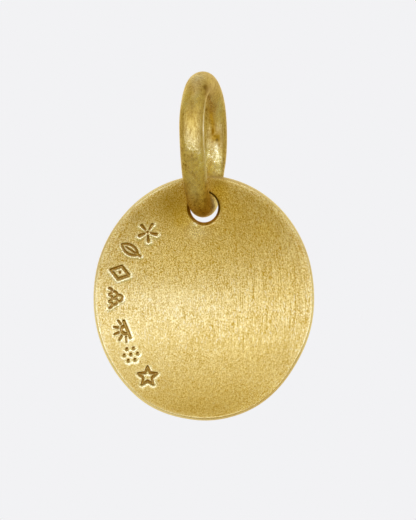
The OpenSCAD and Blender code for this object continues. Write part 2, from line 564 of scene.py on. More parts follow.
def build_disc():
    edge, normal = oval_edge(RIM_COUNT)
    edge = seen_to_sheet(edge, FACE_BACK)
    strokes = placed_strokes()
    outline = edge - FRONT_ROUND * normal
    uv, front_triangles = front_face(edge, outline, strokes)
    relief, burr, cut = groove_values(uv, strokes)
    relief[:RIM_COUNT + HOLE_COUNT] = 0.0
    relief += hand_waves(uv)
    relief += roll_deep(uv) * np.clip(1 - outline_gap(uv, outline) / ROLL_W, 0, 1) ** 2
    points = [on_sheet(uv, FACE_FRONT + relief)]
    base = len(uv)
    quads = []
    ends = []
    # The outline's and the lip's loops come first in the front's points
    for last, loops in ((0, rim_loops(edge, normal)), (RIM_COUNT, hole_loops())):
        for loop in loops:
            points.append(loop)
            quads += loop_quads(last, base, len(loop))
            last = base
            base += len(loop)
        ends.append(last + np.arange(len(loops[-1])))
    inner, back_triangles = back_face(edge, edge - BACK_ROUND * normal)
    points.append(on_sheet(inner, FACE_BACK + hand_waves(inner)))
    number = np.concatenate([*ends, base + np.arange(len(inner))])
    faces = front_triangles.tolist() + quads + number[back_triangles].tolist()
    obj = new_mesh("medallion", np.concatenate(points), faces)
    turn_faces_out(obj)
    mark_disc(obj, edge, burr, cut)
    return obj


# Stains, polish, painted shade, painted warm reflection and painted highlights of the dish

# The hole's bevel is darkened by stain and painted shade, and given a painted warm reflection. It sets
# in over the first span, in millimetres out from the lip. The darkening is less at the bottom, and a
# painted shadow makes it heavier at the upper right, over the other spans, in half throat heights.
CHAMFER_SPAN = (0.01, -0.02)
CHAMFER_STAIN_AND_SHADE = 1.0
CHAMFER_LESS_AT_BOTTOM = 0.72
CHAMFER_BOTTOM_SPAN = (0.2, 1.0)
CHAMFER_SHADE = 0.75
CHAMFER_SHADE_SPAN = (0.0, 0.9)

# Soft marks on the dish: across and up from its middle, half width, half height, strength
# Stains and painted shade, strongest beside the hole and the ring
DISC_STAINS_AND_SHADE = (
    (1.6, 2.8, 2.1, 1.7, 0.16),
    (-0.7, -5.9, 2.6, 0.6, 0.12),
    (4.5, -2.5, 1.1, 1.6, 0.15),
    (-1.7, 4.9, 0.9, 0.9, 0.55),
    (-3.6, 4.3, 0.5, 0.4, 0.25),
    (0.75, 6.2, 0.6, 0.3, 0.5),
)
# Painted warm reflection of gold in gold, strongest beside the ring
DISC_WARM_REFLECTION = (
    (1.6, 2.8, 2.2, 1.7, 0.45),
    (-1.8, 1.8, 2.6, 1.5, 0.28),
    (-1.8, 4.6, 1.2, 0.9, 0.45),
    (3.0, -3.0, 3.0, 2.6, 0.22),
    (-1.0, -3.6, 3.5, 1.8, 0.10),
    (0.0, -5.9, 3.6, 0.8, 0.35),
    (0.0, -4.8, 3.8, 0.8, 0.14),
    (0.0, 0.3, 4.5, 0.7, 0.13),
    (-1.6, 2.6, 2.2, 1.2, 0.14),
    (4.4, 1.2, 1.5, 1.6, 0.25),
    (1.7, 4.6, 0.8, 0.8, 0.45),
    (3.3, 3.6, 0.6, 0.6, 0.35),
    (-1.1, 4.0, 0.7, 0.7, 0.4),
    (-1.1, 5.2, 0.9, 0.9, 0.5),
    (0.75, 5.7, 0.7, 0.9, 1.0),
    (0.2, 3.7, 1.2, 0.4, 0.3),
)
# Polish with painted highlights, the brightest just below the hole's lip, a little to its left
DISC_POLISH_AND_HIGHLIGHT = (
    (-1.8, 0.0, 2.6, 0.8, 0.15),
    (-0.50, 3.98, 0.14, 0.07, 0.55),
    (-0.52, 3.90, 0.18, 0.10, 0.55),
    (-0.40, 3.55, 0.70, 0.35, 0.3),
)

# Painted highlight along the rim, which is also smoother there: clock angle in degrees, spread, strength,
# then the least strength and the width
RIM_HIGHLIGHT = (
    (215, 42, 1.00),
    (270, 22, 0.55),
    (330, 20, 0.75),
    (40, 30, 0.40),
    (100, 30, 0.60),
)
RIM_HIGHLIGHT_LEAST = 0.10
RIM_HIGHLIGHT_W = 0.19


def chamfer_marks(across, up):
    """Where the hole's bevel shows, and its stain and painted shade."""
    from_lip = np.hypot((across - LIP_MID[0]) * LIP_HALF_H / LIP_HALF_W, up - LIP_MID[1]) - LIP_R
    shown = smoothstep(*CHAMFER_SPAN, from_lip)
    # The bevel's painted shade is less at the bottom, and a painted shadow deepens it at the upper right
    worn = CHAMFER_LESS_AT_BOTTOM * smoothstep(*CHAMFER_BOTTOM_SPAN, (HOLE_RISE - up) / THROAT_HALF_H)
    shade = CHAMFER_SHADE * smoothstep(*CHAMFER_SHADE_SPAN, (across + up - HOLE_RISE) / THROAT_HALF_H)
    return shown, shown * (CHAMFER_STAIN_AND_SHADE - worn + shade)


def mark_disc(obj, edge, burr, cut):
    """Stores the dish's stains and painted shade, painted warm reflection, and polish with painted
    highlights, for its material. Burr and the grooves' stain and shade are given for its first points, the
    front's.
    """
    seen = mesh_points(obj)
    across, up = seen[:, 0] - DISH_X, seen[:, 2] - DISH_Z
    # Stain and painted shade in the grooves, given for the front's points
    cuts = np.zeros(len(seen))
    cuts[:len(cut)] = cut
    # Burrs get polish and a painted highlight, strongest where they stand highest
    burr_polish_and_highlight = np.zeros(len(seen))
    burr_polish_and_highlight[:len(burr)] = np.minimum(BURR_POLISH_AND_HIGHLIGHT * burr, 1)
    chamfer, chamfer_stain_and_shade = chamfer_marks(across, up)
    # Painted highlight along the rim
    on_rim = smoothstep(RIM_HIGHLIGHT_W, 0.0, outline_gap(np.stack([across, up], axis=1), edge))
    rim = on_rim * np.clip(RIM_HIGHLIGHT_LEAST + clock_sum(across, up, RIM_HIGHLIGHT), 0, 1)
    add_values(obj, "cut", cuts)
    add_values(obj, "stain_and_shade", np.maximum(marks_at(across, up, DISC_STAINS_AND_SHADE), chamfer_stain_and_shade))
    add_values(obj, "warm_reflection", np.maximum(marks_at(across, up, DISC_WARM_REFLECTION), chamfer))
    add_values(obj, "polish_and_highlight", np.maximum(np.maximum(marks_at(across, up, DISC_POLISH_AND_HIGHLIGHT), burr_polish_and_highlight), rim))


# The ring

# A place along it is a share of the way round, from the widest level of the back limb over the top.
# An angle round the wire is in degrees, 0 on the ring's outer side and 90 on the viewer's left.

PATH_COUNT = 480

# Thin raised seam down the front limb's right side: angle, half width, height, shares where it begins, is
# full, begins to end and ends, and how much and where it widens
SEAM_AT = 276
SEAM_HALF = 6.0
SEAM_HIGH = 0.055
SEAM_SHARES = (0.33, 0.36, 0.58, 0.61)
SEAM_WIDEN = 0.8
SEAM_WIDE_SHARES = (0.48, 0.54)

# Angles of the mesh's points, close together at the seam
SECTION_STEP = 4
SEAM_REACH = 20
SECTION = sorted(set(range(0, 360, SECTION_STEP)) | set(range(SEAM_AT - SEAM_REACH, SEAM_AT + SEAM_REACH)))

# Slight waves of the wire's surface: height, waves along the ring and round the wire
RING_UNEVEN = 0.004
UNEVEN_ALONG = 7
UNEVEN_ROUND = 2

# Worn flats: shares where each begins, is full and ends, angle, spread round, and height, which is
# negative where it is cut in
RING_FLATS = (
    (0.395, 0.500, 0.522, 348, 34, 0.042),
    (0.975, 0.845, 0.785, 200, 46, -0.175),
)

# Flats and dents left by pliers and wear: share, angle, spread along, spread round, depth
RING_DENTS = (
    (0.450, 348, 0.050, 32, 0.030),
    (0.965, 20, 0.020, 26, 0.012),
    (0.30, 330, 0.018, 30, 0.014),
    (0.10, 40, 0.016, 24, 0.010),
    (0.18, 200, 0.020, 30, 0.012),
    (0.88, 300, 0.016, 26, 0.012),
)

# From the first of these heights down to the second the wire shifts a little to the left and grows thinner
LOW_SPAN = (-2.9, -5.0)
LOW_SHIFT = 0.045
LOW_THIN = 0.022

# Soft marks on the front and the back limb: across, height, half width, half height, strength
# Stains and painted shade
FRONT_STAINS_AND_SHADE = (
    (0.36, 0.40, 0.16, 0.24, 0.6),
    (-0.32, -2.15, 0.14, 0.45, 0.35),
    (0.10, 0.42, 0.10, 0.16, 1.1),
    (0.20, 0.18, 0.10, 0.20, 0.7),
    (0.08, -0.10, 0.12, 0.45, 0.45),
    (0.13, -0.69, 0.05, 0.07, 1.3),
    (-0.60, -0.45, 0.04, 0.30, 0.80),
    (-0.64, -3.20, 0.30, 0.03, 0.15),
    (0.18, -5.60, 0.16, 0.40, 0.7),
    (0.42, -5.50, 0.14, 0.40, 0.3),
    (-0.10, -6.25, 0.60, 0.30, 0.6),
    (-0.62, -1.35, 0.50, 0.55, 0.32),
    (-0.95, -1.85, 0.16, 0.45, 0.30),
    (-0.85, 0.75, 0.20, 0.35, 0.20),
    (-0.80, -5.05, 0.16, 0.60, 0.2),
)
# Polish with painted highlights
FRONT_POLISH_AND_HIGHLIGHT = (
    (-0.30, 0.92, 0.42, 0.28, 0.75),
    (-0.60, -0.15, 0.55, 0.50, 0.62),
    (-0.30, -0.20, 0.20, 0.40, 0.30),
    (-0.08, -1.90, 0.08, 0.80, 0.45),
    (-0.72, -4.50, 0.20, 0.40, 0.35),
    (-0.15, -3.45, 0.14, 0.45, 0.90),
    (-0.42, -5.10, 0.28, 0.32, 0.80),
    (-0.35, -4.00, 0.55, 1.20, 0.65),
    (-1.00, -0.20, 0.22, 0.60, 0.60),
    (-0.64, -2.62, 0.34, 0.22, 0.6),
    (-0.60, -2.96, 0.24, 0.10, 0.4),
    (-0.78, -2.35, 0.16, 0.50, 0.4),
    (0.82, -5.65, 0.16, 0.45, 1.0),
)
# Painted warm reflection
FRONT_WARM_REFLECTION = (
    (-0.75, 0.05, 0.30, 0.40, 0.40),
    (-0.55, -0.10, 0.60, 0.60, 0.50),
    (-0.60, -1.50, 0.50, 0.80, 0.5),
    (-0.30, -4.20, 0.70, 1.20, 0.35),
    (-0.05, -5.40, 0.60, 0.60, 0.5),
    (0.00, -6.10, 0.60, 0.45, 0.75),
)
# Stains and painted shade
BACK_STAINS_AND_SHADE = (
    (0.45, 0.52, 0.30, 0.38, 0.50),
    (0.17, -0.69, 0.05, 0.07, 1.3),
    (0.25, 0.25, 0.12, 0.22, 0.7),
    (0.72, -2.30, 0.09, 0.07, 0.9),
    (0.64, -2.10, 0.06, 0.07, 0.9),
    (0.86, -2.62, 0.05, 0.12, 0.7),
    (1.00, -2.45, 0.12, 0.35, 0.30),
    (0.80, -2.22, 0.14, 0.42, 1.0),
    (0.40, -2.05, 0.16, 0.30, 0.6),
    (0.30, -4.00, 0.12, 0.35, 0.3),
    (0.54, -1.75, 0.14, 0.45, 0.80),
    (0.92, -1.85, 0.26, 0.40, 0.45),
    (0.50, -3.55, 0.05, 0.08, 0.6),
    (0.62, -3.75, 0.05, 0.06, 0.6),
    (0.36, -3.70, 0.05, 0.06, 0.5),
    (0.35, -5.25, 0.20, 0.50, 0.6),
)
# Polish with painted highlights
BACK_POLISH_AND_HIGHLIGHT = (
    (0.90, -0.80, 0.20, 0.60, 0.60),
    (0.85, -0.50, 0.24, 0.60, 0.35),
    (0.70, -2.77, 0.10, 0.26, 1.0),
    (0.80, -3.20, 0.11, 0.34, 1.0),
    (0.85, -3.65, 0.16, 0.34, 1.0),
    (1.00, -3.30, 0.10, 0.60, 0.45),
    (0.38, -0.30, 0.16, 0.40, 0.8),
    (0.27, -2.87, 0.24, 0.36, 1.0),
    (0.42, -3.40, 0.34, 0.50, 0.8),
    (0.35, -3.90, 0.45, 0.50, 1.0),
    (0.82, -5.65, 0.16, 0.45, 1.0),
)
# Painted warm reflection, mostly a streak down the back limb
BACK_WARM_REFLECTION = (
    (0.17, -0.21, 0.07, 0.20, 0.5),
    (0.28, -0.60, 0.07, 0.24, 0.6),
    (0.42, -1.01, 0.09, 0.26, 1.0),
    (0.51, -1.40, 0.09, 0.26, 1.0),
    (0.56, -1.81, 0.10, 0.26, 1.0),
    (0.58, -2.20, 0.16, 0.16, 1.0),
    (0.35, -1.50, 0.20, 0.70, 0.2),
    (0.35, -5.25, 0.22, 0.55, 0.8),
    (0.36, -4.00, 0.22, 0.50, 0.80),
    (0.98, -3.00, 0.12, 0.50, 0.50),
)
# Stored values: stains with painted shade, polish with painted highlights, and painted warm reflection
RING_MARKS = (
    ("stain_and_shade", FRONT_STAINS_AND_SHADE, BACK_STAINS_AND_SHADE),
    ("polish_and_highlight", FRONT_POLISH_AND_HIGHLIGHT, BACK_POLISH_AND_HIGHLIGHT),
    ("warm_reflection", FRONT_WARM_REFLECTION, BACK_WARM_REFLECTION),
)


def ring_path(count):
    """The wire's middle line in the ring's own plane, evenly spaced, with its outward direction."""
    arcs = (
        ((0.0, 0.0), TOP_R, 0.0, math.pi),
        ((SIDE_R - TOP_R, 0.0), SIDE_R, math.pi, 1.5 * math.pi - SHOULDER),
        ((0.0, -BOTTOM_DROP), BOTTOM_R, 1.5 * math.pi - SHOULDER, 1.5 * math.pi + SHOULDER),
        ((TOP_R - SIDE_R, 0.0), SIDE_R, 1.5 * math.pi + SHOULDER, 2 * math.pi),
    )
    total = sum(r * (end - start) for _, r, start, end in arcs)
    rows = []
    for k in range(count):
        way = total * k / count
        for middle, r, start, end in arcs:
            length = r * (end - start)
            if way <= length:
                out = polar(1.0, math.degrees(start + way / r))
                rows.append((middle[0] + r * out[0], middle[1] + r * out[1], *out))
                break
            way -= length
    return np.array(rows)


def seam_shape(share, degrees):
    """Height of the seam as a share, by place along the ring and angle round the wire."""
    begin, full, last, end = SEAM_SHARES
    along = smoothstep(begin, full, share) * (1 - smoothstep(last, end, share))
    half = SEAM_HALF * (1 + SEAM_WIDEN * smoothstep(*SEAM_WIDE_SHARES, share))
    return along * bell(degrees - SEAM_AT, half)


def wire_radius(share, degrees):
    """Radius of the worn wire without its seam."""
    wave = np.sin(2 * math.pi * UNEVEN_ALONG * share + UNEVEN_ROUND * np.radians(degrees))
    radius = WIRE_D / 2 + RING_UNEVEN * (wave - 1)
    for at, side, along, around, deep in RING_DENTS:
        radius -= deep * bell(round_gap(share, at, 1), along) * bell(round_gap(degrees, side, 360), around)
    for begin, full, end, side, around, high in RING_FLATS:
        along = smoothstep(begin, full, share) * (1 - smoothstep(full, end, share))
        radius += high * along * bell(round_gap(degrees, side, 360), around)
    return radius


def tube_faces(rows, columns):
    """Quads of a tube that closes on itself both ways."""
    faces = []
    for i in range(rows):
        here, following = i * columns, (i + 1) % rows * columns
        for j in range(columns):
            k = (j + 1) % columns
            faces.append((here + j, here + k, following + k, following + j))
    return faces


def build_ring():
    path = ring_path(PATH_COUNT)
    share = (np.arange(PATH_COUNT) / PATH_COUNT)[:, None]
    degrees = np.array(SECTION, dtype=float)[None, :]
    low = smoothstep(*LOW_SPAN, path[:, 1:2] + RING_MID_Z)
    seam = seam_shape(share, degrees)
    radius = wire_radius(share, degrees) + SEAM_HIGH * seam - LOW_THIN * low
    out = np.cos(np.radians(degrees)) * radius
    x = path[:, 0:1] + path[:, 2:3] * out
    z = path[:, 1:2] + path[:, 3:4] * out + RING_MID_Z
    x, y = turned(x, np.sin(np.radians(degrees)) * radius, math.pi / 2 - RING_TURN)
    x, z = turned(x, z, RING_LEAN)
    points = np.stack([x - LOW_SHIFT * low, y, z], axis=2).reshape(-1, 3)
    obj = new_mesh("hanging_ring", points, tube_faces(PATH_COUNT, len(SECTION)))
    turn_faces_out(obj)
    in_front = np.repeat(path[:, 0] < 0, len(SECTION))
    for name, *sides in RING_MARKS:
        front, back = (marks_at(points[:, 0], points[:, 2], marks) for marks in sides)
        add_values(obj, name, np.where(in_front, front, back))
    # The seam's shape, which the material paints with a highlight
    add_values(obj, "seam", seam.reshape(-1))
    return obj


# Materials

class Graph:
    """Short calls for building a node graph. Most give the socket of a result."""

    def __init__(self, tree):
        self.tree = tree

    def put(self, value, socket):
        """Links a socket's value, or sets a plain one."""
        if isinstance(value, bpy.types.NodeSocket):
            self.tree.links.new(value, socket)
        else:
            socket.default_value = value

    def node(self, kind, inputs=None, **settings):
        """A node with these settings, and with these values or links on its inputs."""
        n = self.tree.nodes.new(kind)
        for key, value in settings.items():
            setattr(n, key, value)
        for key, value in (inputs or {}).items():
            self.put(value, n.inputs[key])
        return n

    def math(self, how, a, b=0.0, clamp=False):
        return self.node("ShaderNodeMath", {0: a, 1: b}, operation=how, use_clamp=clamp).outputs[0]

    def plus(self, first, *others, clamp=False):
        for other in others:
            first = self.math("ADD", first, other, clamp)
        return first

    def times(self, first, *others, clamp=False):
        for other in others:
            first = self.math("MULTIPLY", first, other, clamp)
        return first

    def minus(self, a, b, clamp=False):
        return self.math("SUBTRACT", a, b, clamp)

    def about(self, value, gain):
        """A noise taken about its middle and scaled."""
        return self.times(self.minus(value, 0.5), gain)

    def range(self, value, low, high, at_low=0.0, at_high=1.0, smooth=False):
        """Goes evenly from one result to the other between low and high, and stays level beyond."""
        places = {"Value": value, "From Min": low, "From Max": high, "To Min": at_low, "To Max": at_high}
        kind = "SMOOTHSTEP" if smooth else "LINEAR"
        return self.node("ShaderNodeMapRange", places, interpolation_type=kind).outputs[0]

    def fade(self, value, low, high, at_low=0.0, at_high=1.0):
        """The same, with smooth ends."""
        return self.range(value, low, high, at_low, at_high, smooth=True)

    def mix_colour(self, share, a, b, how="MIX"):
        n = self.node("ShaderNodeMix", {"Factor": share}, data_type="RGBA", blend_type=how)
        self.put(a, n.inputs[6])
        self.put(b, n.inputs[7])
        return n.outputs[2]

    def noise(self, vector, scale, detail, rough):
        places = {"Vector": vector, "Scale": scale, "Detail": detail, "Roughness": rough}
        return self.node("ShaderNodeTexNoise", places).outputs["Fac"]

    def stretch(self, vector, *factors):
        return self.node("ShaderNodeVectorMath", {0: vector, 1: factors}, operation="MULTIPLY").outputs[0]

    def split(self, vector):
        return self.node("ShaderNodeSeparateXYZ", {0: vector}).outputs

    def stored(self, name):
        """A value that the mesh stores for each vertex."""
        return self.node("ShaderNodeAttribute", attribute_name=name).outputs["Fac"]


# Golds: hollows, crests and glints of the dish, hollows and crests of the ring, then the painted highlight,
# the painted warm reflection, stain and painted shade in grooves, stain and painted shade elsewhere, the
# seam's painted highlight, and the deepest stain and painted shadow
DISC_DEEP = (0.56, 0.33, 0.012, 1.0)
DISC_PALE = (0.98, 0.84, 0.485, 1.0)
DISC_GLINT = (1.00, 0.97, 0.860, 1.0)
RING_DEEP = (0.52, 0.33, 0.080, 1.0)
RING_PALE = (1.00, 0.84, 0.430, 1.0)
HIGHLIGHT_GOLD = (1.00, 0.93, 0.700, 1.0)
WARM_REFLECTION_GOLD = (1.00, 0.90, 0.400, 1.0)
GROOVE_STAIN_AND_SHADE_GOLD = (0.21, 0.075, 0.002, 1.0)
STAIN_AND_SHADE_GOLD = (0.38, 0.22, 0.015, 1.0)
SEAM_HIGHLIGHT_GOLD = (1.00, 0.90, 0.730, 1.0)
DEEP_STAIN_AND_SHADOW = (0.10, 0.06, 0.010, 1.0)

# How much smoother polish makes the metal
POLISH_SMOOTH = 0.16


def stained_and_shaded(g, colour, stain_and_shade):
    """Darkens a colour by stain and painted shade: brown at strength one and nearly black at strength two.
    """
    colour = g.mix_colour(g.math("MINIMUM", stain_and_shade, 1.0), colour, STAIN_AND_SHADE_GOLD)
    return g.mix_colour(g.minus(stain_and_shade, 1.0, clamp=True), colour, DEEP_STAIN_AND_SHADOW)


# Mixes in a painted warm reflection: the colour is tinted towards orange and a little darker
def with_warm_reflection(g, colour, warm_reflection):
    return g.mix_colour(warm_reflection, colour, g.mix_colour(1.0, colour, WARM_REFLECTION_GOLD, "MULTIPLY"))


def start_material(name):
    """An empty material, its graph, and the place on the mesh in millimetres."""
    mat = bpy.data.materials.new(name)
    mat.use_nodes = True
    mat.node_tree.nodes.clear()
    g = Graph(mat.node_tree)
    coords = g.node("ShaderNodeTexCoord").outputs["Object"]
    return mat, g, g.stretch(coords, 1 / MM, 1 / MM, 1 / MM)


def finish_metal(g, colour, rough, height_mm):
    """Metal of this colour and roughness, with a bump of this height."""
    height = g.times(height_mm, MM)
    bump = g.node("ShaderNodeBump", {"Strength": 1.0, "Distance": 1.0, "Height": height}).outputs[0]
    looks = {"Metallic": 1.0, "Base Color": colour, "Roughness": rough, "Normal": bump}
    metal = g.node("ShaderNodeBsdfPrincipled", looks).outputs[0]
    g.node("ShaderNodeOutputMaterial", {"Surface": metal})


# Brushing of the dish runs up and down in lanes. They draw together towards the top and the bottom like
# ellipses of this half height, and the last value keeps the square of their width above nothing.
LANE_HALF_H = 8.6
LANE_LEAST = 0.1

# Noises along the lanes: stretch, then scale, detail and roughness
FINE_STREAKS = (0.05, 19.0, 1.0, 0.5)
WIDE_STREAKS = (0.06, 6.0, 2.0, 0.5)
LONG_GRAIN = (0.75, 19.0, 1.0, 0.6)
SCRATCHES = (0.035, 9.0, 1.0, 0.5)
GLINTS = (0.4, 17.0, 0.0, 0.5)
# Noises alike in all directions: scale, detail, roughness
ROUND_GRAIN = (21.0, 1.0, 0.6)
DISC_MOTTLE = (1.3, 2.0, 0.5)

# Streaks: gains, and where they are strong, from left to right, towards the top and towards the bottom.
# A span gives two places and, where it has four values, the results there.
FINE_STREAK_GAIN = 1.35
WIDE_STREAK_GAIN = 0.6
STREAKS_ACROSS = (-2.5, 4.0, 0.40, 1.0)
STREAKS_TOP = (3.6, 6.2, 1.0, 0.35)
STREAKS_BOTTOM = (-1.6, -3.8, 1.0, 0.30)
SCRATCH_CUT = (0.60, 0.70)
SCRATCH_ACROSS = (4.8, 5.3, 1.0, 0.0)
SCRATCH_GAIN = 0.30

# Long grain is calmer near the top, near the bottom and below the middle. Round grain is added low down
# and above the middle, where there is less of it on the right.
GRAIN_GAIN = (3.4, 5.2, 3.2, 2.6)
GRAIN_BELOW = (-0.4, -2.6)
GRAIN_BELOW_END = (-3.8, -5.6, 1.0, 0.3)
GRAIN_BELOW_LESS = 0.36
GRAIN_LOWER = (-1.8, -3.4, 1.0, 0.5)
ROUND_LOWER = (-1.8, -3.4, 0.0, 3.0)
ROUND_ABOVE = (-0.5, 1.5, 0.0, 4.0)
ROUND_ABOVE_ACROSS = (0.5, 4.0, 1.0, 0.4)

# Glints are strongest in a band about this height, with weaker ones of the round grain above
GLINT_CUT = (0.62, 0.74)
GLINT_UP = -0.9
GLINT_BAND = (1.0, 2.6, 0.5, 0.25)
ROUND_GLINT_CUT = (0.58, 0.72)
ROUND_GLINT_GAIN = 0.15

# Mottle and middle tone; what a groove does to the gold: painted warm reflection, darkening by stain and
# painted shade, and smoothness; roughness of hollows and crests, bump heights
DISC_MOTTLE_GAIN = 0.3
DISC_TONE = 0.56
GROOVE_WARM_REFLECTION = 0.8
GROOVE_DARK = 0.90
GROOVE_SMOOTH = 0.14
DISC_ROUGH = (0.40, 0.30)
STREAK_HIGH = 0.0016
GRAIN_HIGH = 0.0040


def disc_lanes(g, mm):
    """Places on the dish, across and up from its middle, and a maker of noises along its lanes."""
    x, y, z = g.split(mm)
    across = g.minus(x, DISH_X)
    up = g.minus(z, DISH_Z)
    ratio = g.math("DIVIDE", up, LANE_HALF_H)
    width = g.math("SQRT", g.math("MAXIMUM", g.minus(1.0, g.times(ratio, ratio)), LANE_LEAST))
    lane = g.math("DIVIDE", across, width)

    def lane_noise(stretch, *looks):
        place = g.node("ShaderNodeCombineXYZ", {0: lane, 1: y, 2: g.times(up, stretch)}).outputs[0]
        return g.noise(place, *looks)

    return across, up, lane_noise


def disc_streaks(g, across, up, lane_noise):
    """Brushing that shows on the right and fades out to the left, the top and the bottom."""
    level = g.math("MINIMUM", g.fade(up, *STREAKS_TOP), g.fade(up, *STREAKS_BOTTOM))
    brushed = g.times(g.fade(across, *STREAKS_ACROSS), level)
    fine = g.about(lane_noise(*FINE_STREAKS), FINE_STREAK_GAIN)
    wide = g.about(lane_noise(*WIDE_STREAKS), WIDE_STREAK_GAIN)
    scratch = g.times(g.fade(lane_noise(*SCRATCHES), *SCRATCH_CUT), g.fade(across, *SCRATCH_ACROSS))
    return g.times(g.minus(g.plus(fine, wide), g.times(scratch, SCRATCH_GAIN)), brushed)


def disc_grain(g, up, above, lane_noise, round_grain):
    """Long grain, less of it where it is calm, and round grain."""
    gain = g.fade(g.math("ABSOLUTE", up), *GRAIN_GAIN)
    below = g.times(g.fade(up, *GRAIN_BELOW), g.fade(up, *GRAIN_BELOW_END), GRAIN_BELOW_LESS)
    long_grain = g.about(lane_noise(*LONG_GRAIN), gain)
    long_grain = g.times(long_grain, g.minus(1.0, below), g.fade(up, *GRAIN_LOWER))
    return g.plus(long_grain, g.about(round_grain, g.fade(up, *ROUND_LOWER)), g.about(round_grain, above))


def disc_glints(g, up, above, lane_noise, round_grain):
    from_band = g.math("ABSOLUTE", g.minus(up, GLINT_UP))
    long_glints = g.times(g.fade(lane_noise(*GLINTS), *GLINT_CUT), g.fade(from_band, *GLINT_BAND))
    round_glints = g.times(g.fade(round_grain, *ROUND_GLINT_CUT), above, ROUND_GLINT_GAIN)
    return g.math("MAXIMUM", long_glints, round_glints)


def disc_material():
    mat, g, mm = start_material("brushed_gold")
    across, up, lane_noise = disc_lanes(g, mm)
    round_grain = g.noise(mm, *ROUND_GRAIN)
    above = g.times(g.fade(up, *ROUND_ABOVE), g.fade(across, *ROUND_ABOVE_ACROSS))
    streaks = disc_streaks(g, across, up, lane_noise)
    grain = disc_grain(g, up, above, lane_noise, round_grain)
    mottle = g.about(g.noise(mm, *DISC_MOTTLE), DISC_MOTTLE_GAIN)
    share = g.plus(g.plus(streaks, grain, mottle), DISC_TONE, clamp=True)
    cut, stain_and_shade, polish_and_highlight, warm_reflection = (g.stored(name) for name in ("cut", "stain_and_shade", "polish_and_highlight", "warm_reflection"))
    colour = g.mix_colour(share, DISC_DEEP, DISC_PALE)
    colour = g.mix_colour(disc_glints(g, up, above, lane_noise, round_grain), colour, DISC_GLINT)
    # Painted warm reflection, stain and painted shade in the grooves and elsewhere, then polish with
    # painted highlights
    colour = with_warm_reflection(g, colour, g.plus(warm_reflection, g.times(cut, GROOVE_WARM_REFLECTION), clamp=True))
    colour = g.mix_colour(g.times(cut, GROOVE_DARK), colour, GROOVE_STAIN_AND_SHADE_GOLD)
    colour = stained_and_shaded(g, colour, stain_and_shade)
    colour = g.mix_colour(polish_and_highlight, colour, HIGHLIGHT_GOLD)
    rough = g.range(share, 0.0, 1.0, *DISC_ROUGH)
    rough = g.minus(g.minus(rough, g.times(cut, GROOVE_SMOOTH)), g.times(polish_and_highlight, POLISH_SMOOTH))
    height = g.plus(g.times(streaks, STREAK_HIGH), g.times(grain, GRAIN_HIGH))
    finish_metal(g, colour, rough, g.times(height, g.minus(1.0, cut)))
    return mat


# Noises on the ring: stretch up and down, then scale, detail and roughness
RING_GRAIN = (1.0, 12.0, 2.0, 0.6)
FLECKS = (0.7, 5.5, 2.0, 0.6)
RING_MOTTLE = (1.0, 2.6, 3.0, 0.6)
WIRE_LINES = (0.10, 12.0, 2.0, 0.5)
BLOTCHES = (0.5, 3.6, 1.0, 0.5)
PITS = (1.0, 8.0, 1.0, 0.5)

# Gains of the grain, flecks, drawn lines and mottle, and the tone that they play about
RING_GAINS = (1.8, 1.1, 1.3, 0.7)
RING_TONE = 0.65

# Dark specks gather on the lower half: span of heights and results, where flecks and pits count, strength
SPECKS_LOW = (-2.4, -3.6, 0.25, 1.0)
FLECK_CUT = (0.54, 0.68)
PIT_CUT = (0.56, 0.68)
SPECKS_DARK = 0.85

# Blotches break up the stains and painted shade, and the polish and painted highlights
STAIN_AND_SHADE_BLOTCH = (0.30, 0.55, 0.55, 1.0)
POLISH_AND_HIGHLIGHT_BLOTCH = (0.38, 0.56, 0.45, 1.0)

# Strength of the seam's painted highlight, roughness of hollows and crests, bump heights
SEAM_HIGHLIGHT = 1.5
RING_ROUGH = (0.48, 0.32)
TONE_HIGH = 0.007
LINES_HIGH = 0.016
BLOTCH_HIGH = 0.04


def ring_material():
    mat, g, mm = start_material("worn_gold")

    def ring_noise(stretch, *looks):
        return g.noise(g.stretch(mm, 1.0, 1.0, stretch), *looks)

    flecks, lines, blotches = (ring_noise(*noise) for noise in (FLECKS, WIRE_LINES, BLOTCHES))
    noises = (ring_noise(*RING_GRAIN), flecks, lines, ring_noise(*RING_MOTTLE))
    tone = g.plus(*(g.about(noise, gain) for noise, gain in zip(noises, RING_GAINS)))
    share = g.plus(tone, RING_TONE, clamp=True)
    specks = g.math("MAXIMUM", g.fade(flecks, *FLECK_CUT), g.fade(ring_noise(*PITS), *PIT_CUT))
    specks = g.times(specks, g.fade(g.split(mm)[2], *SPECKS_LOW), SPECKS_DARK)
    stain_and_shade, polish_and_highlight, warm_reflection, seam = (g.stored(name) for name in ("stain_and_shade", "polish_and_highlight", "warm_reflection", "seam"))
    # Polish with painted highlights, stains and painted shade, painted warm reflection, and the seam's
    # painted highlight
    polish_and_highlight = g.times(polish_and_highlight, g.fade(blotches, *POLISH_AND_HIGHLIGHT_BLOTCH), clamp=True)
    colour = g.mix_colour(share, RING_DEEP, RING_PALE)
    colour = g.mix_colour(specks, colour, STAIN_AND_SHADE_GOLD)
    colour = stained_and_shaded(g, colour, g.times(stain_and_shade, g.range(blotches, *STAIN_AND_SHADE_BLOTCH)))
    colour = g.mix_colour(polish_and_highlight, colour, HIGHLIGHT_GOLD)
    colour = with_warm_reflection(g, colour, warm_reflection)
    colour = g.mix_colour(g.times(seam, SEAM_HIGHLIGHT, clamp=True), colour, SEAM_HIGHLIGHT_GOLD)
    rough = g.minus(g.range(share, 0.0, 1.0, *RING_ROUGH), g.times(polish_and_highlight, POLISH_SMOOTH))
    height = g.plus(g.times(tone, TONE_HIGH), g.times(lines, LINES_HIGH))
    height = g.plus(height, g.times(blotches, polish_and_highlight, BLOTCH_HIGH))
    finish_metal(g, colour, rough, height)
    return mat


# Studio

# The flat colour that the camera and matt surfaces see in place of the light
BACKDROP = (0.888, 0.888, 0.905, 1.0)

